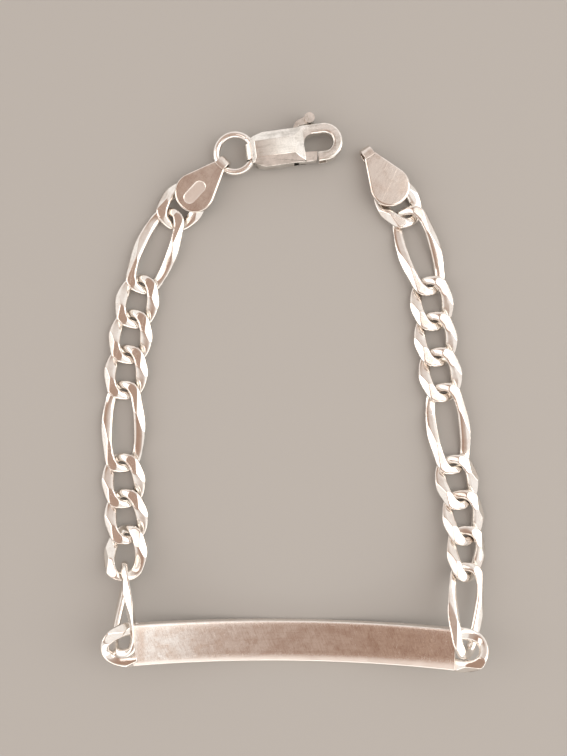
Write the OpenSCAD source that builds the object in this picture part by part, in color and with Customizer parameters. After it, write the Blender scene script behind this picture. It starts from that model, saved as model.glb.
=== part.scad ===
// Silver id bracelet: a curved name bar, a figaro chain on each side of it, two end tags and a
// trigger clasp. It lies unfastened on a flat surface, back upward, so the bar's two ends curve up.
// The bar runs along X, the clasp lies at the +Y side of the loop, and Z is up.

/* [Bar] */
// Length of the bar along its curve
bar_length = 39.6; // [34:0.5:48]
// Width of the bar
bar_width = 5; // [4.2:0.1:6]
// Thickness of the bar
bar_thick = 1.2; // [1:0.05:1.5]
// Radius of the bar's curve at the middle of its thickness
bar_radius = 66.7; // [56:0.1:90]
// Rounding of the bar's long edges
bar_edge = 0.25; // [0.1:0.05:0.4]
// How far the link soldered to each end of the bar stands out from it
end_link_reach = 3.95; // [3.8:0.05:4.4]

/* [Links] */
// Width of every link across the chain
link_width = 5.5; // [4.8:0.1:6.6]
// Length of a short link
short_length = 6.95; // [6.2:0.05:8.35]
// Length of a long link
long_length = 11.5; // [9.6:0.1:13.8]
// Width of the wire, seen from above, where a link turns
wire_turn = 1.14; // [0.95:0.01:1.2]
// Width of the wire at the sides of a short link
short_side = 1.6; // [1.3:0.05:1.9]
// Width of the wire at the sides of a long link
long_side = 1.46; // [1.2:0.05:1.75]
// Height of the wire
wire_height = 0.86; // [0.7:0.01:1]
// Squareness of the wire's section, from 2 for an ellipse upward
wire_square = 2.6; // [2:0.1:2.8]
// Thickness of the chain between its filed faces
chain_thick = 1.6; // [1.4:0.02:1.9]
// Half width of the level filed face along the middle of the chain
face_half = 1.8; // [1.5:0.05:2.1]
// Slope of the filed faces at the chain's sides
face_slope = 38; // [32:1:44]
// Play along the chain at each joint
link_play = 0.22; // [0.18:0.01:0.4]
// Room in height between two wires that cross
cross_room = 0.39; // [0.34:0.01:0.6]

/* [Tags] */
// Length of a tag from its round end to its neck
tag_length = 8.3; // [7:0.1:9.8]
// Width of a tag at its round end
tag_width = 4.9; // [4.1:0.1:5.9]
// Thickness of a tag
tag_thick = 0.62; // [0.52:0.01:0.74]
// Width of a tag's neck
neck_width = 1.65; // [1.4:0.05:2]
// Width of the tongue bent into a loop
tongue_width = 1.35; // [1.15:0.05:1.6]
// Bore of the loop that the tongue is bent into
loop_bore = 1.38; // [1.3:0.01:1.6]
// Thickness of the tongue
tongue_thick = 0.38; // [0.32:0.01:0.45]
// Length of the plain oval punched into the left tag
punch_length = 3.3; // [2.8:0.1:3.9]
// Width of the plain oval
punch_width = 1.5; // [1.3:0.05:1.8]
// Depth of the plain oval
punch_depth = 0.1; // [0.05:0.01:0.15]

/* [Ring and clasp] */
// Outer diameter of the jump ring
ring_outer = 5.5; // [5:0.1:6.6]
// Wire of the jump ring
ring_wire = 0.92; // [0.75:0.01:1]
// Length of the clasp from the eye's middle to the end of the hook
clasp_length = 11.1; // [10.2:0.05:13.3]
// Length of the clasp's body from the eye's middle to its front
body_front = 6; // [5.6:0.05:6.6]
// Width of the clasp's body
body_width = 4.3; // [4:0.05:5.2]
// Thickness of the clasp's body
body_thick = 3; // [2.6:0.05:3.4]
// Width of the bevels along the top of the clasp's body
top_bevel = 1.15; // [0.8:0.05:1.4]
// How far those bevels drop
top_drop = 0.65; // [0.5:0.05:0.75]
// Width of the bevels along the underside of the clasp's body
body_bevel = 0.75; // [0.4:0.05:0.9]
// Width of the eye at the clasp's base
eye_width = 1.85; // [1.5:0.05:2.2]
// Width of the hook's wire seen from above
hook_wire = 1.28; // [1.08:0.02:1.45]
// Height of the hook's wire
hook_height = 1.8; // [1.5:0.05:2.1]
// Thickness of the lever
lever_thick = 1.1; // [0.9:0.05:1.3]
// Diameter of the lever's pin
pin_d = 0.8; // [0.6:0.05:0.9]
// Radius of the thumb knob on the lever
knob_r = 0.64; // [0.52:0.02:0.76]

/* [How it lies] */
// Distance between the clasp's hook and the free tag
open_gap = 2.6; // [1.5:0.1:8]

/* [Hidden] */
$fn = 48;
silver = [0.86, 0.84, 0.81];

// Two kinds of link, with named columns: length, width of the wire at the sides, squareness of
// the outline
SHORT = [short_length, short_side, 2.2];
LONG = [long_length, long_side, 2.6];
LENGTH = 0;
SIDE = 1;
SQUARENESS = 2;

// How the links lie, from the bar to the tag. Columns: kind, heading turned from +X, roll about
// the link's length, and climb towards the tag
KIND = 0;
HEADING = 1;
ROLL = 2;
CLIMB = 3;
left_run = [
    [SHORT, 86, -8, -11.3], [SHORT, 97, 0, -3], [SHORT, 94, 0, -0.8],
    [LONG, 89.7, 0, 0],
    [SHORT, 84.7, 0, 0], [SHORT, 82.7, 0, 0], [SHORT, 77.7, 0, 0],
    [LONG, 67.8, 0, 0]];
right_run = [
    [SHORT, 91.5, 21.5, -5.6], [SHORT, 97, 12, -3.3], [SHORT, 103.2, 4.7, -1.4],
    [LONG, 98.2, 0, -0.55],
    [SHORT, 100.3, 0, 0], [SHORT, 96.3, 0, 0], [SHORT, 97.3, 0, 0],
    [LONG, 107.7, 0, 0]];
// The long link that hangs in each end link of the bar: its lower turn seen from that end
// link's outer end, as how far out, ahead and above; its heading and roll; and where the next
// link has slid along its upper turn
HANG_TURN = 0;
HANG_HEADING = 1;
HANG_ROLL = 2;
HANG_SLIDE = 3;
left_hang = [[-2.717, -0.65, 1.18], 93.3, -61, [-0.2, 0, 0]];
right_hang = [[-2.816, -0.36, 0.583], 85.6, 27, [0, 0, 0]];
// Headings of the tags, of the eye from the jump ring's middle, and of the clasp
left_tag_heading = 48;
right_tag_heading = 124;
eye_heading = 2;
clasp_heading = 8.8;
// How far the tags' links sit to the inner side of the joint they hang on, how far each plate
// sits to the inner side of its link, and how far the jump ring has slid along its loop
tag_side_step = 0.1;
left_plate_step = 0.3;
right_plate_step = 0;
ring_side_step = 0.2;

// Shape of the links
wire_half = wire_height / 2;
lie_height = chain_thick / 2;
twist_turn = 45;
cross_lift = (wire_height + cross_room) / 2;
least_flesh = 0.12;
link_rings = 36;
wire_sides = 12;
// The bar's end links reach this far round from their outer turn, so their feet end in the bar
foot_turn = 108;
foot_rings = 22;
function half_w(k) = (link_width - k[SIDE]) / 2;
function half_l(k) = (k[LENGTH] - wire_turn) / 2;
function pitch(k) = k[LENGTH] - 2 * wire_turn - link_play;
function signed_power(v, p) = sign(v) * pow(abs(v), p);
function cross_u(k) = pitch(k) / 2 / half_l(k);
function cross_x(k) =
    half_w(k) * pow(1 - pow(cross_u(k), k[SQUARENESS]), 1 / k[SQUARENESS]);
function twist_gain(k) = cross_lift / (cross_x(k) * sin(twist_turn * cross_u(k)));
// Middle of the wire at angle t round the link: a squared oval, twisted evenly along its length
function wire_mid(k, t) =
    let (
        x = half_w(k) * signed_power(sin(t), 2 / k[SQUARENESS]),
        u = signed_power(cos(t), 2 / k[SQUARENESS]))
    [x, half_l(k) * u, twist_gain(k) * x * sin(twist_turn * u)];
// Filed faces as [x of the normal, z of the normal, distance]: two level and four sloping
face_reach = face_half * sin(face_slope) + lie_height * cos(face_slope);
filed_faces = [
    for (up = [1, -1]) [0, up, lie_height],
    for (up = [1, -1], side = [1, -1])
        [side * sin(face_slope), up * cos(face_slope), face_reach]];
function unit(v) = v / norm(v);
// Radius of the wire from its middle c along direction d, cut back to the filed faces
function flesh(c, d, round_r) =
    max(least_flesh, min(concat([round_r], [
        for (f = filed_faces)
            let (along = f.x * d.x + f.y * d.z)
            if (along > 0.001) (f.z - f.x * c.x - f.y * c.z) / along])));
function wire_ring(k, t) =
    let (
        c = wire_mid(k, t),
        ahead = unit(wire_mid(k, t + 0.02) - wire_mid(k, t - 0.02)),
        flat_out = unit([-ahead.y, ahead.x, 0]),
        out = flat_out * sign(flat_out * c),
        tilt = cross(out, ahead),
        up = tilt * sign(tilt.z),
        share = pow(c.x / half_w(k), 2),
        w = (wire_turn * (1 - share) + k[SIDE] * share) / 2)
    [for (j = [0 : wire_sides - 1])
        let (
            v = 360 * j / wire_sides,
            d = out * cos(v) + up * sin(v),
            round_r = pow(
                pow(abs(cos(v)) / w, wire_square) + pow(abs(sin(v)) / wire_half, wire_square),
                -1 / wire_square))
        c + d * flesh(c, d, round_r)];
// Two triangles between each side of a ring of points and the next ring
function skin(rings, closed) =
    [for (i = [0 : rings - (closed ? 1 : 2)], j = [0 : wire_sides - 1], half = [0, 1])
        let (
            a = i * wire_sides,
            b = ((i + 1) % rings) * wire_sides,
            n = (j + 1) % wire_sides)
        half == 0 ? [a + j, b + j, b + n] : [a + j, b + n, a + n]];
module whole_link(k) {
    rings = [for (i = [0 : link_rings - 1]) wire_ring(k, 360 * (i + 0.5) / link_rings)];
    polyhedron([for (r = rings) each r], skin(link_rings, true));
}
// Part of a short link from its outer turn round to both feet
module open_link() {
    step = 2 * foot_turn / (foot_rings - 1);
    rings = [for (i = [0 : foot_rings - 1]) wire_ring(SHORT, i * step - foot_turn)];
    last = (foot_rings - 1) * wire_sides;
    caps = [
        [for (j = [0 : wire_sides - 1]) j],
        [for (j = [wire_sides - 1 : -1 : 0]) last + j]];
    polyhedron([for (r = rings) each r], concat(skin(foot_rings, false), caps));
}

// Where the links lie
function ahead_of(heading, climb) =
    [cos(climb) * cos(heading), cos(climb) * sin(heading), sin(climb)];
bar_half_turn = bar_length / bar_radius * 90 / PI;
bar_end = [bar_radius * sin(bar_half_turn), 0,
    bar_thick / 2 + bar_radius * (1 - cos(bar_half_turn))];
end_link_step = end_link_reach - wire_turn / 2 - half_l(SHORT);
// A point seen from the middle of the bar's end, as how far out, ahead and above
function off_bar_end(side, p) =
    [side * (bar_end.x + p.x * cos(bar_half_turn) - p.z * sin(bar_half_turn)), p.y,
        bar_end.z + p.x * sin(bar_half_turn) + p.z * cos(bar_half_turn)];
function end_link_mid(side) = off_bar_end(side, [end_link_step, 0, 0]);
// Height of the joint before row i, worked back from the flat stretch of the chain
function joint_height(run, i) = i == len(run) ? lie_height
    : joint_height(run, i + 1) - pitch(run[i][KIND]) * sin(run[i][CLIMB]);
// The joint before row i, seen from the joint before row 0, with all headings turned by turn
function joint_step(run, i, turn) = i == 0 ? [0, 0, 0]
    : joint_step(run, i - 1, turn)
        + pitch(run[i - 1][KIND]) * ahead_of(run[i - 1][HEADING] + turn, run[i - 1][CLIMB]);
hang_span = half_l(LONG) + pitch(LONG) / 2;
function hang_turn(side, hang) = off_bar_end(side, hang[HANG_TURN] + [end_link_reach, 0, 0]);
function hang_climb(side, hang, run) =
    asin((joint_height(run, 0) - hang_turn(side, hang).z) / hang_span);
function first_joint(side, hang, run) =
    hang_turn(side, hang) + hang[HANG_SLIDE]
        + hang_span * ahead_of(hang[HANG_HEADING], hang_climb(side, hang, run));

// Tag, seen from the middle of the end link it is soldered to, heading along +Y
tag_sink = 0.07;
tag_round_r = tag_width / 2;
tag_round_y = half_l(SHORT) * 0.7;
loop_r = loop_bore / 2 + tongue_thick;
loop_y = tag_round_y + tag_length - tag_round_r - loop_r;
tag_top = lie_height - tag_sink + tag_thick;
loop_z = tag_top - loop_r;
neck_y = loop_y - 0.2;
ring_mid_r = (ring_outer - ring_wire) / 2;
function turned(p, heading) =
    [p.x * sin(heading) + p.y * cos(heading), p.y * sin(heading) - p.x * cos(heading), 0];
function tag_mid_step(side, heading) =
    turned([-side * tag_side_step, pitch(SHORT) / 2], heading);
function plate_step(side) = side < 0 ? left_plate_step : -right_plate_step;
function loop_step(side, heading) =
    tag_mid_step(side, heading) + turned([plate_step(side), loop_y], heading);
// The ring's wire bows inside the loop, so it's set back by half the bow
ring_bow = ring_mid_r - sqrt(pow(ring_mid_r, 2) - pow(tongue_width / 2 + ring_side_step, 2));
function ring_step(heading) = turned([ring_side_step, ring_mid_r - ring_bow / 2], heading);

// The two sides of the chain swing apart or together until the open gap is as stated
left_first = first_joint(-1, left_hang, left_run);
right_first = first_joint(1, right_hang, right_run);
left_span = joint_step(left_run, len(left_run), 0) + loop_step(-1, left_tag_heading)
    + ring_step(left_tag_heading) + ring_mid_r * ahead_of(eye_heading, 0)
    + clasp_length * ahead_of(clasp_heading, 0);
right_span = joint_step(right_run, len(right_run), 0) + loop_step(1, right_tag_heading)
    + loop_r * ahead_of(right_tag_heading, 0);
swing_x = right_span.x - left_span.x;
swing_y = right_span.y + left_span.y;
swing_need = open_gap - (right_first.x - left_first.x);
swing = atan2(swing_y, swing_x) - acos(swing_need / norm([swing_x, swing_y]));

left_tag_at = left_first + joint_step(left_run, len(left_run), swing)
    + tag_mid_step(-1, left_tag_heading + swing);
right_tag_at = right_first + joint_step(right_run, len(right_run), -swing)
    + tag_mid_step(1, right_tag_heading - swing);
left_loop = left_tag_at + turned([plate_step(-1), loop_y], left_tag_heading + swing)
    + [0, 0, loop_z];
ring_flat = left_loop + ring_step(left_tag_heading + swing);
eye_flat = ring_flat + ring_mid_r * ahead_of(eye_heading + swing, 0);
eye_at = [eye_flat.x, eye_flat.y, body_thick / 2];
ring_line = eye_at - left_loop;
ring_line_heading = atan2(ring_line.y, ring_line.x);
ring_line_climb = asin(ring_line.z / norm(ring_line));
ring_at = left_loop + ring_line / 2
    + (ring_flat - (left_loop + eye_flat) / 2);
clasp_turn = clasp_heading + swing;

// The whole stands over the middle of its own outline
function link_mid(side, hang, run, i, turn) =
    i == 0 ? hang_turn(side, hang)
        + half_l(LONG) * ahead_of(hang[HANG_HEADING], hang_climb(side, hang, run))
    : first_joint(side, hang, run) + joint_step(run, i - 1, turn)
        + pitch(run[i - 1][KIND]) / 2 * ahead_of(run[i - 1][HEADING] + turn, run[i - 1][CLIMB]);
function link_half_x(k, heading) =
    norm([link_width / 2 * sin(heading), k[LENGTH] / 2 * cos(heading)]);
left_edge = min([for (i = [1 : len(left_run)])
    link_mid(-1, left_hang, left_run, i, swing).x
        - link_half_x(left_run[i - 1][KIND], left_run[i - 1][HEADING] + swing)]);
right_edge = max([for (i = [1 : len(right_run)])
    link_mid(1, right_hang, right_run, i, -swing).x
        + link_half_x(right_run[i - 1][KIND], right_run[i - 1][HEADING] - swing)]);
end_link_edge = bar_end.x + end_link_reach * cos(bar_half_turn);
front_edge = max(bar_width, link_width) / 2;

// Clasp, seen from the eye's middle on the surface it lies on, heading along +X
mid_z = body_thick / 2;
body_half = body_width / 2;
base_x = -0.26;
base_half = 1.35;
base_bevel = 0.56;
eye_r = 1.06;
eye_clear = 0.17;
hook_out_r = body_half + 0.2;
hook_in_r = hook_out_r - hook_wire;
hook_mid_x = clasp_length - hook_out_r;
opening_x = body_front + 0.28 + hook_in_r;
front_bevel = 0.93;
hook_edge = 0.35;
tip_x = opening_x + 0.5;
pivot = [tip_x - 2.53, -1.15];
gate_reach = tip_x - pivot.x - 0.08;
gate_width = hook_wire - 0.1;
gate_side = -body_half;
hub_r = 0.72;
lever_clear = 0.1;
pin_clear = 0.05;
pin_cover = 0.5;
tab_width = 0.6;
knob_at = [pivot.x + 2.05, hook_out_r + knob_r + 0.1];
// The thumb tab's bends, from the hub out to the knob
tab_path = [
    [pivot.x - 0.2, pivot.y], [pivot.x - 0.1, body_half - 0.55],
    [pivot.x + 0.5, hook_out_r + 0.32]];
knob_far = turned([-knob_at.y, knob_at.x], clasp_turn);
back_edge = max(eye_at.y + knob_far.y + knob_r,
    right_tag_at.y + (loop_y + loop_r) * sin(right_tag_heading - swing));
whole_shift = [
    -(min(left_edge, -end_link_edge) + max(right_edge, end_link_edge)) / 2,
    -(back_edge - front_edge) / 2, 0];

module laid(at, heading, roll, climb) {
    translate(whole_shift + at) rotate([0, 0, heading - 90]) rotate([climb, 0, 0])
        rotate([0, roll, 0]) children();
}
module bar_end_link(side) {
    translate(end_link_mid(side)) rotate([0, 0, -side * 90]) rotate([bar_half_turn, 0, 0])
        open_link();
}
module bar() {
    corner_y = bar_width / 2 - bar_edge;
    corner_r = bar_thick / 2 - bar_edge;
    color(silver) translate(whole_shift) {
        translate([0, 0, bar_radius + bar_thick / 2]) rotate([-90, 0, 0])
            rotate([0, 0, 90 - bar_half_turn])
                rotate_extrude(angle = 2 * bar_half_turn, $fn = 360) translate([bar_radius, 0]) {
                    square([2 * corner_r, bar_width], center = true);
                    square([bar_thick, 2 * corner_y], center = true);
                    for (x = [-1, 1], y = [-1, 1])
                        translate([x * corner_r, y * corner_y]) circle(bar_edge);
                }
        for (side = [-1, 1])
            bar_end_link(side);
    }
}
// Corners of the straight sides of a tag, tangent to its round end
function tag_tangent() =
    let (
        dx = neck_width / 2,
        dy = neck_y - tag_round_y,
        span = norm([dx, dy]),
        lean = atan2(dy, dx) - acos(tag_round_r / span))
    [tag_round_r * cos(lean), tag_round_y + tag_round_r * sin(lean)];
module tag_plate() {
    side_point = tag_tangent();
    translate([0, 0, lie_height - tag_sink]) linear_extrude(tag_thick) {
        translate([0, tag_round_y]) circle(tag_round_r);
        polygon([
            [-side_point.x, side_point.y], [side_point.x, side_point.y],
            [neck_width / 2, neck_y], [-neck_width / 2, neck_y]]);
        translate([-tongue_width / 2, neck_y - 0.3]) square([tongue_width, loop_y - neck_y + 0.3]);
    }
}
module tag(side) {
    translate([plate_step(side), 0, 0]) difference() {
        union() {
            tag_plate();
            translate([0, loop_y, loop_z]) rotate([0, 90, 0])
                cylinder(r = loop_r, h = tongue_width, center = true);
        }
        translate([0, loop_y, loop_z]) rotate([0, 90, 0])
            cylinder(d = loop_bore, h = 2 * neck_width, center = true);
        if (side < 0)
            translate([0, tag_round_y, tag_top - punch_depth]) linear_extrude(1)
                punch_outline();
    }
    whole_link(SHORT);
}
// A plain long round along the tag
module punch_outline() {
    r = punch_width / 2;
    run = punch_length / 2 - r;
    square([punch_width, 2 * run], center = true);
    for (end = [-1, 1])
        translate([0, end * run]) circle(r);
}
module tag_left() {
    color(silver) laid(left_tag_at, left_tag_heading + swing, 0, 0) tag(-1);
}
module tag_right() {
    color(silver) laid(right_tag_at, right_tag_heading - swing, 0, 0) tag(1);
}
// Link i of a side: the first hangs in the bar's end link, the others follow the run
module chain_link(side, hang, run, i, turn) {
    mid = link_mid(side, hang, run, i, turn);
    color(silver)
        if (i == 0)
            laid(mid, hang[HANG_HEADING], hang[HANG_ROLL], hang_climb(side, hang, run))
                whole_link(LONG);
        else
            laid(mid, run[i - 1][HEADING] + turn, run[i - 1][ROLL], run[i - 1][CLIMB])
                whole_link(run[i - 1][KIND]);
}
module ring_tube(r) {
    translate(whole_shift + ring_at) rotate([0, -ring_line_climb, ring_line_heading])
        rotate_extrude() translate([ring_mid_r, 0]) circle(r);
}
module jump_ring() {
    color(silver) ring_tube(ring_wire / 2);
}
module at_clasp() {
    translate(whole_shift + [eye_at.x, eye_at.y, 0]) rotate([0, 0, clasp_turn]) children();
}
module body_block() {
    intersection() {
        translate([-2, 0, 0]) rotate([90, 0, 90]) linear_extrude(12) polygon([
            [-body_half + body_bevel, 0], [body_half - body_bevel, 0],
            [body_half, body_bevel], [body_half, body_thick - top_drop],
            [body_half - top_bevel, body_thick], [-body_half + top_bevel, body_thick],
            [-body_half, body_thick - top_drop], [-body_half, body_bevel]]);
        translate([0, 0, -1]) linear_extrude(body_thick + 2) {
            polygon([
                [base_x, -base_half], [base_x + 0.62, -body_half + 0.32],
                [base_x + 1.6, -body_half], [opening_x, -body_half],
                [opening_x, body_half], [base_x + 1.6, body_half],
                [base_x + 0.62, body_half - 0.32], [base_x, base_half]]);
        }
        translate([0, 6, 0]) rotate([90, 0, 0]) linear_extrude(12) polygon([
            [base_x, base_bevel], [base_x + base_bevel, 0], [body_front - front_bevel, 0],
            [body_front + 0.28, mid_z - hook_height / 2], [opening_x, mid_z - hook_height / 2],
            [opening_x, mid_z + hook_height / 2], [body_front + 0.28, mid_z + hook_height / 2],
            [body_front - front_bevel, body_thick], [base_x + base_bevel, body_thick],
            [base_x, body_thick - base_bevel]]);
    }
}
module hook_section() {
    w = hook_wire / 2 - hook_edge;
    h = hook_height / 2 - hook_edge;
    square([2 * w, hook_height], center = true);
    square([hook_wire, 2 * h], center = true);
    for (x = [-1, 1], y = [-1, 1])
        translate([x * w, y * h]) circle(hook_edge);
}
module hook() {
    hook_r = hook_out_r - hook_wire / 2;
    translate([hook_mid_x, 0, mid_z]) rotate([0, 0, -90]) rotate_extrude(angle = 180)
        translate([hook_r, 0]) hook_section();
    translate([opening_x - 1.4, hook_r, mid_z]) rotate([90, 0, 90])
        linear_extrude(hook_mid_x - opening_x + 1.4) hook_section();
    translate([tip_x, -hook_r, mid_z]) rotate([90, 0, 90])
        linear_extrude(hook_mid_x - tip_x) hook_section();
}
// Room for the lever: the gate's way in at the front, and the thumb tab's sweep to the side
module lever_room() {
    room = lever_thick + 2 * lever_clear;
    translate([0, 0, mid_z - room / 2]) linear_extrude(room) {
        translate(pivot) circle(hub_r + lever_clear);
        translate([pivot.x - 0.5, -body_half - 1]) square([4, gate_width + 1.6]);
        polygon([
            [pivot.x - 0.75, pivot.y - 0.3], [pivot.x + 0.4, pivot.y + 0.5],
            [pivot.x + 0.4, body_half - 0.6], [pivot.x + 0.85, body_half],
            [pivot.x + 0.85, body_half + 1], [pivot.x - 2.35, body_half + 1],
            [pivot.x - 2, pivot.y + 2.4]]);
    }
}
module clasp_body() {
    color(silver) difference() {
        at_clasp() difference() {
            union() {
                body_block();
                hook();
                translate([0, 0, mid_z]) rotate([90, 0, 0])
                    cylinder(r = eye_r, h = eye_width, center = true);
                translate([0, -eye_width / 2, mid_z - eye_r])
                    cube([base_bevel, eye_width, 2 * eye_r]);
            }
            translate([opening_x, 0, -1]) cylinder(r = hook_in_r, h = body_thick + 2);
            translate([opening_x, -hook_in_r, -1])
                cube([hook_mid_x - opening_x, 2 * hook_in_r, body_thick + 2]);
            translate([body_front + 0.28, -body_half - 1, -1])
                cube([tip_x - body_front - 0.28, body_half + 1, body_thick + 2]);
            lever_room();
            translate([pivot.x, pivot.y, -1])
                cylinder(d = pin_d + 2 * pin_clear, h = body_thick - pin_cover + 1);
        }
        ring_tube(ring_wire / 2 + eye_clear);
    }
}
module clasp_lever() {
    color(silver) at_clasp() difference() {
        union() {
            translate([0, 0, mid_z - lever_thick / 2]) linear_extrude(lever_thick) {
                translate(pivot) circle(hub_r);
                intersection() {
                    translate([pivot.x, gate_side]) square([gate_reach, gate_width]);
                    translate(pivot) circle(gate_reach);
                }
                for (i = [0 : 1])
                    tab_bar(tab_path[i], tab_path[i + 1]);
                tab_wedge(tab_path[2], knob_at);
            }
            translate([knob_at.x, knob_at.y, mid_z - hook_height / 2])
                cylinder(r = knob_r, h = hook_height);
        }
        translate([pivot.x, pivot.y, -1])
            cylinder(d = pin_d + 2 * pin_clear, h = body_thick + 2);
    }
}
// A straight stretch of the thumb tab with a round end
module tab_bar(from, to) {
    step = to - from;
    translate(from) rotate(atan2(step.y, step.x)) {
        translate([0, -tab_width / 2]) square([norm(step), tab_width]);
        translate([norm(step), 0]) circle(tab_width / 2);
    }
}
// The tab's last stretch, which widens to the knob
module tab_wedge(from, to) {
    step = to - from;
    translate(from) rotate(atan2(step.y, step.x)) polygon([
        [0, -tab_width / 2], [norm(step), -0.9 * knob_r],
        [norm(step), 0.9 * knob_r], [0, tab_width / 2]]);
}
module clasp_pin() {
    color(silver) at_clasp() translate([pivot.x, pivot.y, pin_clear])
        cylinder(d = pin_d, h = body_thick - pin_cover - 2 * pin_clear);
}

bar();
tag_left();
tag_right();
for (i = [0 : len(left_run)])
    chain_link(-1, left_hang, left_run, i, swing);
for (i = [0 : len(right_run)])
    chain_link(1, right_hang, right_run, i, -swing);
jump_ring();
clasp_body();
clasp_lever();
clasp_pin();
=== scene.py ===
import bmesh
import bpy
import numpy as np
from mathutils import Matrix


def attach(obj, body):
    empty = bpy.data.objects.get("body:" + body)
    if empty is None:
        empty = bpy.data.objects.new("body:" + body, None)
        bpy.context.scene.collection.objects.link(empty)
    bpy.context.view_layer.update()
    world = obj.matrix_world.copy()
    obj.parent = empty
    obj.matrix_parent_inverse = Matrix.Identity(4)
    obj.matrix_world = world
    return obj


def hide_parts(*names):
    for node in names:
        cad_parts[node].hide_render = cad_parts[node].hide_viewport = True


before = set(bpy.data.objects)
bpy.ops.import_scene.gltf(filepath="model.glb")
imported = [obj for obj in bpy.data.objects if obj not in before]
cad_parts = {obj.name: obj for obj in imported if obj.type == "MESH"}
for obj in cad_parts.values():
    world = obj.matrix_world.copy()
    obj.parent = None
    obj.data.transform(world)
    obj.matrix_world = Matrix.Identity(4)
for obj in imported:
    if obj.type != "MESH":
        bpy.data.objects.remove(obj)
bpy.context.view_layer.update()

# Chain
# Eighteen links of drawn silver wire, three short and one long in turn, bent to ovals, twisted
# and soldered shut through each other. The finished chain is pressed and filed flat on both
# faces, which leaves a level facet on each raised corner and sloping facets along the sides.
MM = 0.001
LINK_WIDTH = 5.5
WIRE_AT_TURN = 1.14
WIRE_HEIGHT = 0.86
CHAIN_THICKNESS = 1.6
WIRE_SQUARENESS = 2.6
FACET_HALF_WIDTH = 1.8
FACET_SLOPE = np.radians(38)
LINK_PLAY = 0.22
CROSSING_ROOM = 0.39
TWIST = np.radians(45)
EDGE_POLISH = 0.012
SHORT = {"length": 6.95, "wire_at_side": 1.6, "squareness": 2.2}
LONG = {"length": 11.5, "wire_at_side": 1.46, "squareness": 2.6}
# Each link's kind, middle, heading from +X, roll about its length, and climb along its length
CHAIN_LINKS = {
    "left_link_1": (LONG, (-20.3892, -26.8893, 3.3799), (93.3, -61, -18.2996)),
    "left_link_2": (SHORT, (-20.6771, -20.4478, 1.531), (85.847, -8, -11.3)),
    "left_link_3": (SHORT, (-20.784, -16.0656, 0.9786), (96.847, 0, -3)),
    "left_link_4": (SHORT, (-21.1982, -11.6397, 0.8311), (93.847, 0, -0.8)),
    "left_link_5": (LONG, (-21.3119, -4.9201, 0.8), (89.547, 0, 0)),
    "left_link_6": (SHORT, (-21.0649, 1.7947, 0.8), (84.547, 0, 0)),
    "left_link_7": (SHORT, (-20.5648, 6.2158, 0.8), (82.547, 0, 0)),
    "left_link_8": (SHORT, (-19.7964, 10.5947, 0.8), (77.547, 0, 0)),
    "left_link_9": (LONG, (-17.6052, 16.9292, 0.8), (67.647, 0, 0)),
    "right_link_1": (LONG, (21.044, -26.5527, 2.9504), (85.6, 27, -16.3256)),
    "right_link_2": (SHORT, (21.3115, -20.0334, 1.4684), (91.653, 21.5, -5.6)),
    "right_link_3": (SHORT, (20.971, -15.6159, 1.1232), (97.153, 12, -3.3)),
    "right_link_4": (SHORT, (20.1807, -11.2477, 0.9408), (103.353, 4.7, -1.4)),
    "right_link_5": (LONG, (19.0133, -4.6314, 0.8432), (98.353, 0, -0.55)),
    "right_link_6": (SHORT, (17.9559, 2.0087, 0.8), (100.453, 0, 0)),
    "right_link_7": (SHORT, (17.3022, 6.4077, 0.8), (96.453, 0, 0)),
    "right_link_8": (SHORT, (16.7635, 10.8248, 0.8), (97.453, 0, 0)),
    "right_link_9": (LONG, (15.0953, 17.3143, 0.8), (107.853, 0, 0)),
}


def wire_middle(kind, t):
    """Middle of a link's wire at angles t round it: the squared oval x = half width times
    sin(t) to the power 2/n, y = half length times cos(t) to the power 2/n, each with its sign
    kept. Its height is x times the sine of the twist, which grows evenly from the waist."""
    power = 2 / kind["squareness"]
    half_width = (LINK_WIDTH - kind["wire_at_side"]) / 2
    half_length = (kind["length"] - WIRE_AT_TURN) / 2
    cross_u = (kind["length"] - 2 * WIRE_AT_TURN - LINK_PLAY) / 2 / half_length
    cross_x = half_width * (1 - cross_u ** kind["squareness"]) ** (1 / kind["squareness"])
    gain = (WIRE_HEIGHT + CROSSING_ROOM) / 2 / (cross_x * np.sin(TWIST * cross_u))
    x = half_width * np.sign(np.sin(t)) * np.abs(np.sin(t)) ** power
    u = np.sign(np.cos(t)) * np.abs(np.cos(t)) ** power
    return np.stack([x, half_length * u, gain * x * np.sin(TWIST * u)], axis=-1)


def evenly_round(kind, start, stop, count, closed):
    """Angles that step evenly along the wire: the length so far at 6000 angles, turned round
    and read off at equal lengths."""
    t = np.linspace(start, stop, 6000)
    step = np.linalg.norm(np.diff(wire_middle(kind, t), axis=0), axis=1)
    so_far = np.concatenate([[0], np.cumsum(step)])
    return np.interp(np.linspace(0, so_far[-1], count, endpoint=not closed), so_far, t)


def unit(vectors):
    return vectors / np.linalg.norm(vectors, axis=-1, keepdims=True)


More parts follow.
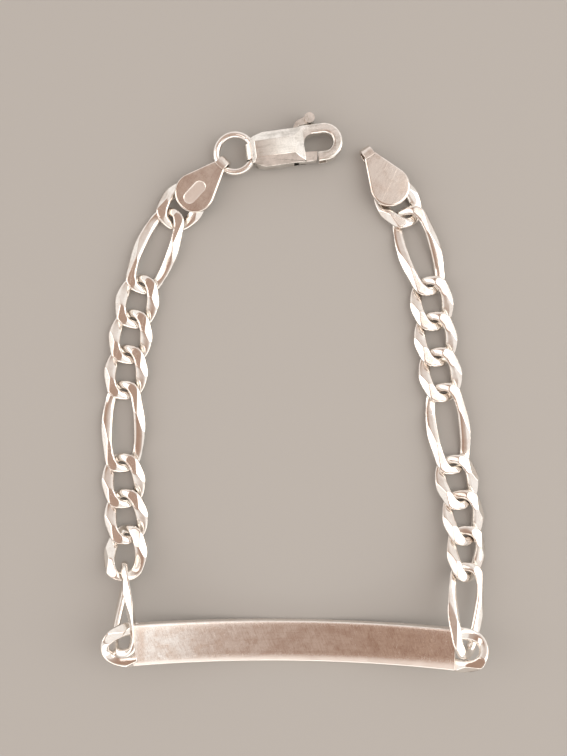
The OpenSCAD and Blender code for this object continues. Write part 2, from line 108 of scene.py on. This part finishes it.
def wire_skin(kind, t, sides):
    """A ring of points round the wire's middle at each angle t. The wire's section is a squared
    oval, |x / half width|^n + |z / half height|^n = 1, wider at the link's waist and cut back to
    two level and four sloping filed faces: the distance along each direction is the least of the
    oval's radius and the way to each face, taken as minus k times the log of the sum of
    exp(-distance / k), which rounds the edges by k."""
    middle = wire_middle(kind, t)
    ahead = unit(wire_middle(kind, t + 0.0004) - wire_middle(kind, t - 0.0004))
    out = unit(np.stack([-ahead[:, 1], ahead[:, 0], 0 * t], axis=-1))
    up = unit(np.cross(ahead, out))
    waist = (2 * middle[:, 0] / (LINK_WIDTH - kind["wire_at_side"])) ** 2
    half = (WIRE_AT_TURN * (1 - waist) + kind["wire_at_side"] * waist)[:, None] / 2
    v = 2 * np.pi * np.arange(sides)[None, :] / sides
    way = out[:, None] * np.cos(v)[..., None] + up[:, None] * np.sin(v)[..., None]
    oval = (np.abs(np.cos(v) / half) ** WIRE_SQUARENESS
            + np.abs(np.sin(v) / (WIRE_HEIGHT / 2)) ** WIRE_SQUARENESS)
    reach = [oval ** (-1 / WIRE_SQUARENESS)]
    slope_x, slope_z = np.sin(FACET_SLOPE), np.cos(FACET_SLOPE)
    level = CHAIN_THICKNESS / 2
    slope_at = FACET_HALF_WIDTH * slope_x + level * slope_z
    faces = [(0, 1, level), (0, -1, level)]
    faces += [(x * slope_x, z * slope_z, slope_at) for x in (1, -1) for z in (1, -1)]
    for x, z, distance in faces:
        along = x * way[..., 0] + z * way[..., 2]
        room = distance - x * middle[:, 0] - z * middle[:, 2]
        reach.append(np.where(along > 0.001, room[:, None] / np.maximum(along, 0.001), 9))
    reach = np.stack(reach)
    nearest = reach.min(axis=0)
    soft = nearest - EDGE_POLISH * np.log(np.exp((nearest - reach) / EDGE_POLISH).sum(axis=0))
    return middle[:, None] + way * soft[..., None]


def laid(points, at, turns):
    """Points made lying along +Y, rolled about Y, climbed about X, turned to their heading about
    Z, and carried to where they lie, in that order."""
    heading, roll, climb = np.radians(turns)
    c, s = np.cos(roll), np.sin(roll)
    rolled = points @ np.array([[c, 0, -s], [0, 1, 0], [s, 0, c]])
    c, s = np.cos(climb), np.sin(climb)
    climbed = rolled @ np.array([[1, 0, 0], [0, c, s], [0, -s, c]])
    c, s = np.sin(heading), np.cos(heading)
    return climbed @ np.array([[c, -s, 0], [s, c, 0], [0, 0, 1]]) + np.array(at)


def between_rings(rings, sides, closed):
    """Four-cornered faces between each ring of points and the next, and back to the first."""
    i = np.arange(rings if closed else rings - 1)[:, None]
    j = np.arange(sides)[None, :]
    here, there, beside = i * sides, (i + 1) % rings * sides, (j + 1) % sides
    return np.stack([here + j, here + beside, there + beside, there + j], axis=-1).reshape(-1, 4)


def silver_piece(name, grid, closed, body, finish, marks={}):
    """Puts a grid of rings, in millimetres, into a mesh with an end face on each open end.
    Marks are values from 0 to 1 for each point, kept as attributes that the finish reads."""
    rings, sides = grid.shape[:2]
    faces = between_rings(rings, sides, closed).tolist()
    if not closed:
        faces += [list(range(sides))[::-1], list(range((rings - 1) * sides, rings * sides))]
    mesh = bpy.data.meshes.new(name)
    mesh.from_pydata((grid.reshape(-1, 3) * MM).tolist(), [], faces)
    mesh.polygons.foreach_set("use_smooth", np.ones(len(faces), bool))
    for mark, values in marks.items():
        layer = mesh.attributes.new(mark, "FLOAT", "POINT")
        layer.data.foreach_set("value", np.ascontiguousarray(values, np.float32).ravel())
    mesh.materials.append(finish)
    piece = bpy.data.objects.new(name, mesh)
    bpy.context.scene.collection.objects.link(piece)
    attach(piece, body)
    return piece


class Shade:
    """A value that changes over a surface. Sums and products written with it add Math nodes."""

    def __init__(self, socket):
        self.socket = socket

    def node(self, kind, settings, inputs, output=0):
        """Adds a node: first its settings, then a value or a link for each socket named."""
        tree = self.socket.id_data
        made = tree.nodes.new(kind)
        for name, value in settings.items():
            setattr(made, name, value)
        for name, value in inputs.items():
            if isinstance(value, Shade):
                tree.links.new(value.socket, made.inputs[name])
            else:
                made.inputs[name].default_value = value
        return Shade(made.outputs[output])

    def math(self, operation, *values):
        return self.node("ShaderNodeMath", {"operation": operation}, dict(enumerate(values)))

    def __add__(self, other):
        return self.math("ADD", self, other)

    def __sub__(self, other):
        return self.math("SUBTRACT", self, other)

    def __rsub__(self, other):
        return self.math("SUBTRACT", other, self)

    def __mul__(self, other):
        return self.math("MULTIPLY", self, other)

    __radd__ = __add__
    __rmul__ = __mul__

    def step(self, low, high):
        """0 below low, 1 above high, and a smooth rise between."""
        return self.node("ShaderNodeMapRange", {"interpolation_type": "SMOOTHSTEP"},
                         {"Value": self, "From Min": low, "From Max": high})

    def feed(self, shader, name):
        self.socket.id_data.links.new(self.socket, shader.inputs[name])


def noise(place, size, detail=2.0, stretch=None, turn=0.0):
    """Soft random patches of a size in millimetres, or hairlines where they are stretched to
    one length and two widths and turned about Z."""
    if stretch:
        place = place.node("ShaderNodeMapping", {"vector_type": "TEXTURE"}, {
            "Vector": place, "Rotation": (0, 0, np.radians(turn)), "Scale": stretch})
    return place.node("ShaderNodeTexNoise", {}, {
        "Vector": place, "Scale": 1 / (size * MM), "Detail": detail, "Roughness": 0.55})


def silver(name, bright, dull, roughness, hairline_turns, hairline_depth=1.0, ripple=1.0,
           streaks=()):
    """Polished silver: dull patches where it is tarnished or handled, and hairlines worn into
    it, which are a little rougher and cut a thousandth of a millimetre deep. Each streak is a
    length, a width, a turn about Z and how dull it is. A mesh's stain mark makes it as dull as
    it gets: a real heat stain on the name bar, and a painted dark reflection on the clasp's
    level top. Its frost mark makes it pale and matt: the real matt floor of the left tag's
    punched oval, and a painted pale sheen along the name bar's long edges."""
    material = bpy.data.materials.new(name)
    material.use_nodes = True
    shader = material.node_tree.nodes["Principled BSDF"]
    shader.inputs["Metallic"].default_value = 1
    place = Shade(material.node_tree.nodes.new("ShaderNodeTexCoord").outputs["Object"])
    patches = noise(place, 1.6, 4).step(0.38, 0.68)
    freckles = noise(place, 0.22, 3).step(0.6, 0.76)
    hairlines = 0
    for turn in hairline_turns:
        lines = noise(place, 1, 1, (9, 0.11, 0.11), turn).step(0.66, 0.74)
        hairlines = lines + hairlines
    stain_and_painted_reflection = place.node("ShaderNodeAttribute", {"attribute_name": "stain_and_painted_reflection"}, {}, 2)
    frost_and_painted_sheen = place.node("ShaderNodeAttribute", {"attribute_name": "frost_and_painted_sheen"}, {}, 2)
    # Mix towards the dull colour: random tarnish patches and freckles, with the stain mark over
    # them, which is a real heat stain on the name bar and a painted dark reflection on the clasp's
    # level top.
    tarnish_and_painted_reflection = (patches * 0.7 + freckles * 0.3) * (1 - stain_and_painted_reflection) + stain_and_painted_reflection
    for length, width, turn, dullness in streaks:
        streak = noise(place, 1, 3, (length, width, width), turn).step(0.48, 0.68)
        tarnish_and_painted_reflection = tarnish_and_painted_reflection + streak * dullness
    colour = place.node("ShaderNodeMix", {"data_type": "RGBA"}, {
        "Factor": tarnish_and_painted_reflection, 6: (*bright, 1), 7: (*dull, 1)}, 2)
    # Then towards a pale colour by the frost mark: the real matt floor of the left tag's punched
    # oval, and a painted pale sheen along the name bar's long edges.
    colour = colour.node("ShaderNodeMix", {"data_type": "RGBA"}, {
        "Factor": frost_and_painted_sheen, 6: colour, 7: (1, 0.96, 0.92, 1)}, 2)
    colour.feed(shader, "Base Color")
    worn = patches * 0.07 + hairlines * 0.06 + freckles * 0.05 + frost_and_painted_sheen * 0.3 + stain_and_painted_reflection * 0.1
    (worn + roughness).feed(shader, "Roughness")
    height = noise(place, 0.9, 1) * 5 * ripple - hairlines * 0.8 * hairline_depth
    height.node("ShaderNodeBump", {}, {
        "Height": height, "Distance": 1e-6, "Strength": 1}).feed(shader, "Normal")
    return material


chain_silver = silver("chain_silver", (0.93, 0.9, 0.86), (0.8, 0.72, 0.66), 0.09, (35, 80, 150))
for name, (kind, at, turns) in CHAIN_LINKS.items():
    rings = 200 if kind is SHORT else 280
    t = evenly_round(kind, 0, 2 * np.pi, rings, True)
    skin = laid(wire_skin(kind, t, 60), at, turns)
    link = silver_piece(name + "_wire", skin, True, "bracelet", chain_silver)
    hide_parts(name)

# Name bar
# A strip of sheet silver curved to the wrist, lying back upward. Its back is handled, so it is
# hazier than the chain and streaked with fine slanting scratches. Along its long edges it is
# rougher and has a painted pale sheen, which stands in for the light those edges catch.
# Half of a short link is soldered to each end for the first long link to hang in.
BAR_LENGTH = 39.6
BAR_HALF_WIDTH = 2.5
BAR_HALF_THICKNESS = 0.6
BAR_RADIUS = 66.7
BAR_EDGE = 0.25
BAR_END_EDGE = 0.1
BAR_MIDDLE = (0.238303, -31.1492)
END_LINKS = {"left": (-19.7264, -31.1492, 3.6563), "right": (20.203, -31.1492, 3.6563)}
FOOT_ANGLE = np.radians(108)


def rounded_outline(half_width, half_height, corner, arc=10):
    """Outline of a rectangle with round corners: a quarter circle about each corner's middle,
    and between two of them a straight run whose points crowd towards its ends."""
    crowd = (1 - np.cos(np.linspace(0, np.pi, 12))[1:-1]) / 2
    points = []
    for quarter in range(4):
        a = np.pi / 2 * (quarter + np.linspace(0, 1, arc))
        sign_x, sign_y = ((1, 1), (-1, 1), (-1, -1), (1, -1))[quarter]
        middle = np.array([sign_x * (half_width - corner), sign_y * (half_height - corner)])
        points.append(middle + corner * np.stack([np.cos(a), np.sin(a)], axis=-1))
    joined = []
    for quarter in range(4):
        start, end = points[quarter][-1], points[(quarter + 1) % 4][0]
        joined += [points[quarter], start + (end - start) * crowd[:, None]]
    return np.concatenate(joined)


def end_rounding(radius, steps=6):
    """How far each of the last outlines is drawn in and set back, for a quarter-round end."""
    a = np.linspace(np.pi / 2, 0, steps)
    return radius * (1 - np.cos(a)), radius * (1 - np.sin(a))


drawn_in, set_back = end_rounding(BAR_END_EDGE)
half_turn = BAR_LENGTH / 2 / BAR_RADIUS
edge_turns = half_turn - set_back / BAR_RADIUS
bar_turns = np.concatenate([-edge_turns, np.linspace(-1, 1, 260)[1:-1] * edge_turns[-1],
                            edge_turns[::-1]])
bar_insets = np.concatenate([drawn_in, np.zeros(258), drawn_in[::-1]])
outlines = np.stack([rounded_outline(BAR_HALF_WIDTH - inset, BAR_HALF_THICKNESS - inset,
                                     BAR_EDGE - inset) for inset in bar_insets])
radius = BAR_RADIUS - outlines[..., 1]
bar_skin = np.stack([
    BAR_MIDDLE[0] + radius * np.sin(bar_turns)[:, None],
    BAR_MIDDLE[1] - outlines[..., 0],
    BAR_RADIUS + BAR_HALF_THICKNESS - radius * np.cos(bar_turns)[:, None]], axis=-1)
bar_silver = silver("bar_silver", (0.93, 0.89, 0.85), (0.66, 0.55, 0.48), 0.13, (86, 70, 4, 110),
                    1.2, 0.8, ((1.4, 0.15, 112, 0.4), (0.3, 0.3, 0, 0.25), (5, 0.3, 2, 0.2)))
along = bar_skin[..., 0] - BAR_MIDDLE[0]
heat_stain = (0.75 * np.exp(-((along + 18.5) / 0.45) ** 4)
              + 0.3 * np.exp(-((along - 18.6) / 0.5) ** 4))
share = along / BAR_LENGTH + 0.5
from_south, from_north = BAR_HALF_WIDTH - outlines[..., 0], BAR_HALF_WIDTH + outlines[..., 0]
# Painted sheen: soft bands along the bar's long edges, wider at the south edge, that turn it pale
# for the light those rounded edges catch; they also make it rougher.
painted_edge_sheen = (np.exp(-(from_south / (0.45 + 0.6 * share)) ** 4)
              + 0.6 * np.exp(-(from_north / (0.6 - 0.35 * share)) ** 2))
bar = silver_piece("name_bar", bar_skin, False, "bracelet", bar_silver,
                   {"stain_and_painted_reflection": heat_stain, "frost_and_painted_sheen": painted_edge_sheen})
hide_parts("bar")
for side, middle in END_LINKS.items():
    t = evenly_round(SHORT, -FOOT_ANGLE, FOOT_ANGLE, 130, False)
    heading = 180 if side == "left" else 0
    foot_skin = laid(wire_skin(SHORT, t, 60), middle, (heading, 0, np.degrees(half_turn)))
    silver_piece("bar_" + side + "_link", foot_skin, False, "bracelet", chain_silver)

# End tags
# A teardrop of sheet silver soldered on the last short link of each side. Its narrow neck runs
# into a tongue that is bent down and round into a loop, on the left about the jump ring.
# The left tag has a plain oval punched into its back.
TAG_ROUND = 2.45
TAG_ROUND_Y = 2.0335
TAG_TOP = 1.35
TAG_THICKNESS = 0.62
TAG_RIM = 0.26
TAG_RIM_DROP = 0.16
TAG_UNDER_EDGE = 0.08
NECK_HALF = 0.825
NECK_Y = 6.6135
NECK_CORNER = 0.18
TANGENT = (2.27865, 2.93363)
TONGUE_HALF = 0.675
TONGUE_HALF_THICKNESS = 0.19
LOOP_Y = 6.8135
LOOP_Z = 0.28
LOOP_RADIUS = 0.88
PUNCH_HALF_RUN = 0.9
PUNCH_RADIUS = 0.75
PUNCH_DEPTH = 0.1
TAGS = {"left": ((-14.3264, 22.6735, 0.8), 47.847, 0.3),
        "right": ((12.3839, 23.3827, 0.8), 124.153, 0)}


def teardrop(count):
    """Outline of a tag, the right half from the round end's foot up to the neck and its mirror
    image: an arc of the round end, the straight side that leaves it at a tangent, a small round
    corner and half the neck's end. Returns the points and the outward direction at each."""
    first = np.arctan2(TANGENT[1] - TAG_ROUND_Y, TANGENT[0])
    a = np.linspace(-np.pi / 2, first, 200)
    arc = np.stack([TAG_ROUND * np.cos(a), TAG_ROUND_Y + TAG_ROUND * np.sin(a)], axis=-1)
    corner_y = NECK_Y - NECK_CORNER
    b = np.linspace(first, np.pi / 2, 40)
    corner_x = NECK_HALF - NECK_CORNER
    corner = np.stack([corner_x + NECK_CORNER * np.cos(b),
                       corner_y + NECK_CORNER * np.sin(b)], axis=-1)
    half = np.concatenate([arc, corner, [[0, NECK_Y]]])
    length = np.concatenate([[0], np.cumsum(np.linalg.norm(np.diff(half, axis=0), axis=1))])
    even = np.linspace(0, length[-1], count)
    right = np.stack([np.interp(even, length, half[:, 0]), np.interp(even, length, half[:, 1])],
                     axis=-1)
    right[0, 0] = right[-1, 0] = 0
    points = np.concatenate([right, right[-2:0:-1] * [-1, 1]])
    ahead = unit(np.roll(points, -1, axis=0) - np.roll(points, 1, axis=0))
    return points, np.stack([ahead[:, 1], -ahead[:, 0]], axis=-1)


def punched(points):
    """How far the oval's punch has sunk each point: full depth inside a long round, with a
    smooth wall a few hundredths of a millimetre wide."""
    past = np.maximum(np.abs(points[..., 1] - TAG_ROUND_Y) - PUNCH_HALF_RUN, 0)
    inside = PUNCH_RADIUS - np.hypot(points[..., 0], past)
    share = np.clip(inside / 0.07, 0, 1)
    return PUNCH_DEPTH * share * share * (3 - 2 * share)


def tag_plate(punch):
    """Rings from the plate's middle line out to its rim, down its edge and back underneath.
    A ring on a face is a share of the way from the middle line to the rim, and the rim is a
    quarter ellipse, wide and shallow above and narrow below."""
    points, outward = teardrop(240)
    spine = np.stack([0 * points[:, 0], np.clip(points[:, 1], TAG_ROUND_Y, NECK_Y - 0.45)],
                     axis=-1)
    bend = np.linspace(0, np.pi / 2, 9)
    rings = []
    for share in np.linspace(0, 1, 78):
        flat = spine + (points - outward * TAG_RIM - spine) * share
        sunk = punched(flat) if punch else 0 * flat[:, 0]
        rings.append(np.column_stack([flat, TAG_TOP - sunk]))
    for a in bend[1:]:
        inset = TAG_RIM * (1 - np.sin(a))
        drop = TAG_RIM_DROP * (1 - np.cos(a))
        rings.append(np.column_stack([points - outward * inset, 0 * spine[:, 0] + TAG_TOP - drop]))
    foot = TAG_TOP - TAG_THICKNESS
    for a in bend:
        inset = TAG_UNDER_EDGE * (1 - np.cos(a))
        rise = TAG_UNDER_EDGE * (1 - np.sin(a))
        rings.append(np.column_stack([points - outward * inset, 0 * spine[:, 0] + foot + rise]))
    for share in np.linspace(1, 0, 12)[1:]:
        flat = spine + (points - outward * TAG_UNDER_EDGE - spine) * share
        rings.append(np.column_stack([flat, 0 * flat[:, 0] + foot]))
    return np.stack(rings)


def tag_tongue():
    """A flat strip carried along the neck and then round a circle until it is back under the
    plate: the strip's outline stands square to the path, which lies in the YZ plane."""
    straight = np.linspace(NECK_Y - 0.2, LOOP_Y, 8)[:-1]
    a = np.radians(np.linspace(90, -215, 110))
    path_y = np.concatenate([straight, LOOP_Y + LOOP_RADIUS * np.cos(a)])
    path_z = np.concatenate([0 * straight + LOOP_Z + LOOP_RADIUS, LOOP_Z + LOOP_RADIUS * np.sin(a)])
    lean = np.concatenate([0 * straight + np.pi / 2, a])
    drawn_in, set_back = end_rounding(0.05, 5)
    insets = np.zeros(len(path_y))
    insets[-5:] = drawn_in[::-1]
    strip = np.stack([rounded_outline(TONGUE_HALF - i, TONGUE_HALF_THICKNESS - i, 0.09 - i)
                      for i in insets])
    return np.stack([
        -strip[..., 0],
        path_y[:, None] + np.cos(lean)[:, None] * strip[..., 1],
        path_z[:, None] + np.sin(lean)[:, None] * strip[..., 1]], axis=-1)


def close_seams(piece):
    """Joins the points that lie on each other where a surface meets itself."""
    shape = bmesh.new()
    shape.from_mesh(piece.data)
    bmesh.ops.remove_doubles(shape, verts=shape.verts, dist=1e-8)
    bmesh.ops.dissolve_degenerate(shape, edges=shape.edges, dist=1e-9)
    bmesh.ops.recalc_face_normals(shape, faces=shape.faces)
    shape.to_mesh(piece.data)
    shape.free()


tag_silver = silver("tag_silver", (0.88, 0.83, 0.78), (0.66, 0.57, 0.51), 0.1, (20, 65, 140),
                    1.0, 1.2, ((1.2, 0.25, 55, 0.22),))
for side, (at, heading, aside) in TAGS.items():
    aside = np.array([aside, 0, 0])
    flat_plate = tag_plate(side == "left")
    above = flat_plate[..., 2] > TAG_TOP - PUNCH_DEPTH - 0.01
    floor = 0.6 * punched(flat_plate) / PUNCH_DEPTH * above * (side == "left")
    plate = silver_piece(side + "_tag_plate", laid(flat_plate + aside, at, (heading, 0, 0)),
                         False, "bracelet", tag_silver, {"frost_and_painted_sheen": floor})
    close_seams(plate)
    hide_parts("tag_" + side)
    silver_piece(side + "_tag_tongue", laid(tag_tongue() + aside, at, (heading, 0, 0)), False,
                 "bracelet", tag_silver)
    t = evenly_round(SHORT, 0, 2 * np.pi, 200, True)
    silver_piece(side + "_tag_link", laid(wire_skin(SHORT, t, 60), at, (heading, 0, 0)), True,
                 "bracelet", chain_silver)

# Jump ring
# A ring of round wire that joins the left tag's loop to the clasp's eye. Its ends are pressed
# together and soldered, which leaves a faint groove.
RING_RADIUS = 2.29
RING_WIRE = 0.46
RING_AT = (-7.9046, 29.0224, 1.29)
RING_TURNS = (21.8851, 0, 5.6841)
RING_SEAM = np.radians(118)


def ring_skin(rings, sides):
    """A torus: a circle of the wire's radius carried round a circle. At the seam the wire is
    thinner by a narrow bell curve of the angle from it."""
    t = np.linspace(0, 2 * np.pi, rings, endpoint=False)[:, None]
    v = np.linspace(0, 2 * np.pi, sides, endpoint=False)[None, :]
    wire = RING_WIRE - 0.03 * np.exp(-((t - RING_SEAM) / 0.022) ** 2)
    out = RING_RADIUS + wire * np.cos(v)
    return np.stack([out * np.cos(t), out * np.sin(t), wire * np.sin(-v) + 0 * t], axis=-1)


ring_silver = silver("ring_silver", (0.94, 0.91, 0.88), (0.8, 0.75, 0.7), 0.17, (10, 75, 130))
ring = silver_piece("jump_ring_wire", laid(ring_skin(300, 60), RING_AT, RING_TURNS), True,
                    "bracelet", ring_silver)
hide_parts("jump_ring")

# Clasp
# A cast and ground trigger clasp: a thick body with bevelled edges, which ends in a hook and
# holds the jump ring in its eye. The lever turns on a pin pressed up from below, closes the
# hook's mouth with its gate, and has a thumb knob at the side.
CLASP_EDGE = 0.06
SHARP_TURN = np.radians(28)
SHORTEST_GROUND_EDGE = 0.6
LEVEL_TOP_ABOVE = 2.8
# How far the clasp's level top is painted dull: a painted dark reflection of what is above it.
TOP_PAINTED_REFLECTION = 0.45


def ground_copy(node, name, body, finish, width):
    """A copy of a solid from the frame with its doubled points joined, its flat faces made
    whole and every sharp edge rounded off by grinding. Its level top gets a painted dark
    reflection: it is mixed towards the dull colour and made a little rougher."""
    shape = bmesh.new()
    shape.from_mesh(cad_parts[node].data)
    bmesh.ops.remove_doubles(shape, verts=shape.verts, dist=2e-7)
    bmesh.ops.dissolve_limit(shape, angle_limit=np.radians(0.6), verts=shape.verts,
                             edges=shape.edges)
    ground = shape.edges.layers.float.new("bevel_weight_edge")
    for edge in shape.edges:
        turned = edge.calc_face_angle(0)
        long_enough = edge.calc_length() > SHORTEST_GROUND_EDGE * MM
        edge[ground] = float(turned > SHARP_TURN and long_enough)
        edge.smooth = turned < SHARP_TURN
    mesh = bpy.data.meshes.new(name)
    shape.to_mesh(mesh)
    shape.free()
    mesh.polygons.foreach_set("use_smooth", np.ones(len(mesh.polygons), bool))
    mesh.materials.clear()
    mesh.materials.append(finish)
    # Painted reflection: faces high on the clasp that look straight up are mixed towards the dull
    # colour for the dark ceiling they mirror.
    painted_top_reflection = mesh.attributes.new("stain_and_painted_reflection", "FLOAT", "FACE")
    painted_top_reflection.data.foreach_set("value", [
        TOP_PAINTED_REFLECTION * (face.normal.z > 0.99 and face.center.z > LEVEL_TOP_ABOVE * MM)
        for face in mesh.polygons])
    piece = bpy.data.objects.new(name, mesh)
    bpy.context.scene.collection.objects.link(piece)
    bevel = piece.modifiers.new("ground_edges", "BEVEL")
    bevel.width = width * MM
    bevel.segments = 3
    bevel.limit_method = "WEIGHT"
    bevel.use_clamp_overlap = False
    bevel.harden_normals = True
    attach(piece, body)
    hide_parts(node)
    return piece


clasp_silver = silver("clasp_silver", (0.95, 0.92, 0.88), (0.6, 0.57, 0.53), 0.14, (8, 14, 100),
                      1.0, 1.0, ((3.5, 0.5, 8.5, 0.3), (0.9, 0.3, 98, 0.15)))
for node, name, body in (("clasp_body", "clasp_body_shell", "bracelet"),
                         ("clasp_lever", "clasp_lever_gate", "lever"),
                         ("clasp_pin", "clasp_pin_rivet", "bracelet")):
    ground_copy(node, name, body, clasp_silver, CLASP_EDGE)

# Table, light and camera
# The bracelet lies on a plain pale table in a soft tent of light: pale walls, a darker warm
# ceiling where the photographer stands, and a soft window above on the right. The camera
# looks straight down from a hand's width above.
table = bpy.data.meshes.new("table")
TABLE_REACH = 2.0
TABLE_TOP = -2e-5
corners = [(-1, -1), (1, -1), (1, 1), (-1, 1)]
table.from_pydata([(x * TABLE_REACH, y * TABLE_REACH, TABLE_TOP) for x, y in corners], [],
                  [(0, 1, 2, 3)])
paint = bpy.data.materials.new("table_paint")
paint.use_nodes = True
matt = paint.node_tree.nodes["Principled BSDF"]
matt.inputs["Base Color"].default_value = (0.42, 0.405, 0.385, 1)
matt.inputs["Roughness"].default_value = 0.7
table.materials.append(paint)
table_top = bpy.data.objects.new("table", table)
bpy.context.scene.collection.objects.link(table_top)


def soft_box(name, at, size, power, colour):
    """An area light that faces the bracelet's middle."""
    data = bpy.data.lights.new(name, "AREA")
    data.shape = "RECTANGLE"
    data.size, data.size_y = size
    data.energy = power
    data.color = colour
    lamp = bpy.data.objects.new(name, data)
    lamp.location = at
    toward = -lamp.location
    lamp.rotation_mode = "QUATERNION"
    lamp.rotation_quaternion = toward.to_track_quat("-Z", "Y")
    bpy.context.scene.collection.objects.link(lamp)


soft_box("window_right", (0.34, 0.02, 0.3), (0.3, 0.7), 0.9, (1, 0.95, 0.88))
soft_box("window_left", (-0.4, 0.0, 0.32), (0.3, 0.7), 0.8, (1, 0.96, 0.92))
soft_box("low_front", (0.1, -0.5, 0.16), (0.8, 0.2), 0.6, (1, 0.93, 0.84))

tent = bpy.data.worlds.new("tent")
tent.use_nodes = True
sky = tent.node_tree.nodes["Background"]
way = Shade(tent.node_tree.nodes.new("ShaderNodeTexCoord").outputs["Generated"])
apart = tent.node_tree.nodes.new("ShaderNodeSeparateXYZ")
tent.node_tree.links.new(way.socket, apart.inputs[0])
east, north, height = [Shade(apart.outputs[axis]) for axis in "XYZ"]
window = east.step(-0.3, 0.2) * 0.25 + east.step(0.24, 0.32) * 0.75
north_light = (east + north * 0.8).step(-0.05, 0.35) * 0.5
ceiling = height.step(0.5, 0.8) * (1 - window) * (1 - north_light)
tent_colour = way.node("ShaderNodeMix", {"data_type": "RGBA"}, {
    "Factor": ceiling, 6: (1, 0.95, 0.91, 1), 7: (0.42, 0.275, 0.205, 1)}, 2)
tent_colour.feed(sky, "Color")
sky.inputs["Strength"].default_value = 1
bpy.context.scene.world = tent

camera = bpy.data.cameras.new("camera")
camera.lens = 41.9
camera.sensor_width = 36
camera.clip_start = 0.005
camera_stand = bpy.data.objects.new("camera", camera)
camera_stand.location = (-0.001526, 0.00135, 0.11)
camera_stand.rotation_euler = (0, 0, np.radians(0.8))
bpy.context.scene.collection.objects.link(camera_stand)
bpy.context.scene.camera = camera_stand
bpy.context.scene.view_settings.view_transform = "Standard"
